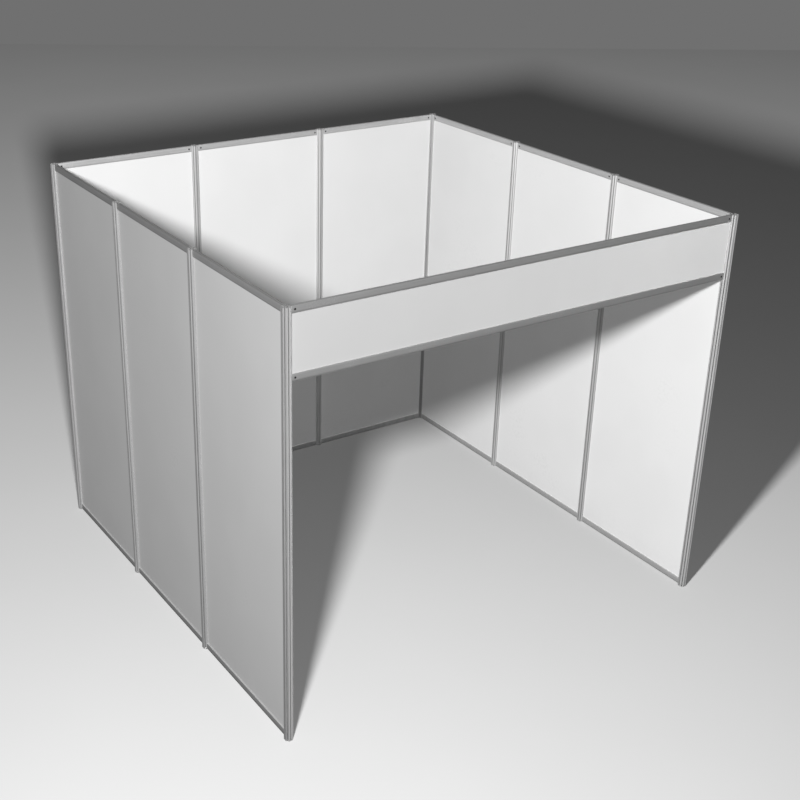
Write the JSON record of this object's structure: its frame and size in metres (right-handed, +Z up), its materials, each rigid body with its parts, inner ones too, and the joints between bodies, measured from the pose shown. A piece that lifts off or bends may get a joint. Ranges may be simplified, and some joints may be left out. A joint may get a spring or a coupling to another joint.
{
  "type": "exhibition booth wall",
  "caption": "Modular exhibition booth: panelled left, rear and right walls on slotted octagonal aluminium posts, and a fascia board between two beams over an open front.",
  "frame": {"origin": "on the floor, at the middle of the booth's plan", "axes": "+X to the right along the open front, +Y from the open front to the rear wall, +Z up"},
  "size_m": [3, 3, 2.5],
  "materials": {
    "aluminium": "satin anodised",
    "white_panel": "matte",
    "fascia_board": "matte",
    "zinc_steel": "zinc plated",
    "lock_steel": "satin"
  },
  "bodies": {
    "booth": {"front_left_post": "aluminium", "left_wall_front_post": "aluminium", "left_wall_rear_post": "aluminium", "rear_left_post": "aluminium", "rear_wall_left_post": "aluminium", "rear_wall_right_post": "aluminium", "rear_right_post": "aluminium", "right_wall_rear_post": "aluminium", "right_wall_front_post": "aluminium", "front_right_post": "aluminium", "left_wall_rear_panel": "white_panel", "left_wall_rear_bottom_rail": "aluminium", "left_wall_rear_top_rail": "aluminium", "left_wall_middle_panel": "white_panel", "left_wall_middle_bottom_rail": "aluminium", "left_wall_middle_top_rail": "aluminium", "left_wall_front_panel": "white_panel", "left_wall_front_bottom_rail": "aluminium", "left_wall_front_top_rail": "aluminium", "rear_wall_right_panel": "white_panel", "rear_wall_right_bottom_rail": "aluminium", "rear_wall_right_top_rail": "aluminium", "rear_wall_middle_panel": "white_panel", "rear_wall_middle_bottom_rail": "aluminium", "rear_wall_middle_top_rail": "aluminium", "rear_wall_left_panel": "white_panel", "rear_wall_left_bottom_rail": "aluminium", "rear_wall_left_top_rail": "aluminium", "right_wall_front_panel": "white_panel", "right_wall_front_bottom_rail": "aluminium", "right_wall_front_top_rail": "aluminium", "right_wall_middle_panel": "white_panel", "right_wall_middle_bottom_rail": "aluminium", "right_wall_middle_top_rail": "aluminium", "right_wall_rear_panel": "white_panel", "right_wall_rear_bottom_rail": "aluminium", "right_wall_rear_top_rail": "aluminium", "wall_locks": "zinc_steel", "fascia_board": "fascia_board", "fascia_upper_beam": "aluminium", "fascia_lower_beam": "aluminium", "fascia_lock_cassettes": "zinc_steel"},
    "front_left_foot": {"front_left_foot": "zinc_steel"},
    "left_wall_front_foot": {"left_wall_front_foot": "zinc_steel"},
    "left_wall_rear_foot": {"left_wall_rear_foot": "zinc_steel"},
    "rear_left_foot": {"rear_left_foot": "zinc_steel"},
    "rear_wall_left_foot": {"rear_wall_left_foot": "zinc_steel"},
    "rear_wall_right_foot": {"rear_wall_right_foot": "zinc_steel"},
    "rear_right_foot": {"rear_right_foot": "zinc_steel"},
    "right_wall_rear_foot": {"right_wall_rear_foot": "zinc_steel"},
    "right_wall_front_foot": {"right_wall_front_foot": "zinc_steel"},
    "front_right_foot": {"front_right_foot": "zinc_steel"},
    "fascia_upper_left_lock_fork": {"fascia_upper_left_lock_fork": "lock_steel"},
    "fascia_upper_left_lock_cam": {"fascia_upper_left_lock_cam": "lock_steel"},
    "fascia_upper_right_lock_fork": {"fascia_upper_right_lock_fork": "lock_steel"},
    "fascia_upper_right_lock_cam": {"fascia_upper_right_lock_cam": "lock_steel"},
    "fascia_lower_left_lock_fork": {"fascia_lower_left_lock_fork": "lock_steel"},
    "fascia_lower_left_lock_cam": {"fascia_lower_left_lock_cam": "lock_steel"},
    "fascia_lower_right_lock_fork": {"fascia_lower_right_lock_fork": "lock_steel"},
    "fascia_lower_right_lock_cam": {"fascia_lower_right_lock_cam": "lock_steel"}
  },
  "joints": [
    {"name": "front_left_foot_screw", "type": "slide", "parent": "booth", "child": "front_left_foot", "axis": [0, 0, -1], "range_m": [0, 0.02]},
    {"name": "left_wall_front_foot_screw", "type": "slide", "parent": "booth", "child": "left_wall_front_foot", "axis": [0, 0, -1], "range_m": [0, 0.02]},
    {"name": "left_wall_rear_foot_screw", "type": "slide", "parent": "booth", "child": "left_wall_rear_foot", "axis": [0, 0, -1], "range_m": [0, 0.02]},
    {"name": "rear_left_foot_screw", "type": "slide", "parent": "booth", "child": "rear_left_foot", "axis": [0, 0, -1], "range_m": [0, 0.02]},
    {"name": "rear_wall_left_foot_screw", "type": "slide", "parent": "booth", "child": "rear_wall_left_foot", "axis": [0, 0, -1], "range_m": [0, 0.02]},
    {"name": "rear_wall_right_foot_screw", "type": "slide", "parent": "booth", "child": "rear_wall_right_foot", "axis": [0, 0, -1], "range_m": [0, 0.02]},
    {"name": "rear_right_foot_screw", "type": "slide", "parent": "booth", "child": "rear_right_foot", "axis": [0, 0, -1], "range_m": [0, 0.02]},
    {"name": "right_wall_rear_foot_screw", "type": "slide", "parent": "booth", "child": "right_wall_rear_foot", "axis": [0, 0, -1], "range_m": [0, 0.02]},
    {"name": "right_wall_front_foot_screw", "type": "slide", "parent": "booth", "child": "right_wall_front_foot", "axis": [0, 0, -1], "range_m": [0, 0.02]},
    {"name": "front_right_foot_screw", "type": "slide", "parent": "booth", "child": "front_right_foot", "axis": [0, 0, -1], "range_m": [0, 0.02]},
    {"name": "fascia_upper_left_lock_turn", "type": "hinge", "parent": "booth", "child": "fascia_upper_left_lock_cam", "pos_m": [-1.432, -1.476, 2.48], "axis": [0, -1, 0], "range_deg": [0, 180]},
    {"name": "fascia_upper_left_lock_fork_slide", "type": "slide", "parent": "booth", "child": "fascia_upper_left_lock_fork", "axis": [-1, 0, 0], "range_m": [0, 0.0025]},
    {"name": "fascia_upper_right_lock_turn", "type": "hinge", "parent": "booth", "child": "fascia_upper_right_lock_cam", "pos_m": [1.432, -1.476, 2.48], "axis": [0, -1, 0], "range_deg": [0, 180]},
    {"name": "fascia_upper_right_lock_fork_slide", "type": "slide", "parent": "booth", "child": "fascia_upper_right_lock_fork", "axis": [1, 0, 0], "range_m": [0, 0.0025]},
    {"name": "fascia_lower_left_lock_turn", "type": "hinge", "parent": "booth", "child": "fascia_lower_left_lock_cam", "pos_m": [-1.432, -1.476, 2.133], "axis": [0, -1, 0], "range_deg": [0, 180]},
    {"name": "fascia_lower_left_lock_fork_slide", "type": "slide", "parent": "booth", "child": "fascia_lower_left_lock_fork", "axis": [-1, 0, 0], "range_m": [0, 0.0025]},
    {"name": "fascia_lower_right_lock_turn", "type": "hinge", "parent": "booth", "child": "fascia_lower_right_lock_cam", "pos_m": [1.432, -1.476, 2.133], "axis": [0, -1, 0], "range_deg": [0, 180]},
    {"name": "fascia_lower_right_lock_fork_slide", "type": "slide", "parent": "booth", "child": "fascia_lower_right_lock_fork", "axis": [1, 0, 0], "range_m": [0, 0.0025]}
  ],
  "couplings": [
    {"joint": "fascia_upper_left_lock_fork_slide", "follows": "fascia_upper_left_lock_turn", "m_per_rad": 0.000795},
    {"joint": "fascia_upper_right_lock_fork_slide", "follows": "fascia_upper_right_lock_turn", "m_per_rad": 0.000795},
    {"joint": "fascia_lower_left_lock_fork_slide", "follows": "fascia_lower_left_lock_turn", "m_per_rad": 0.000795},
    {"joint": "fascia_lower_right_lock_fork_slide", "follows": "fascia_lower_right_lock_turn", "m_per_rad": 0.000795}
  ]
}
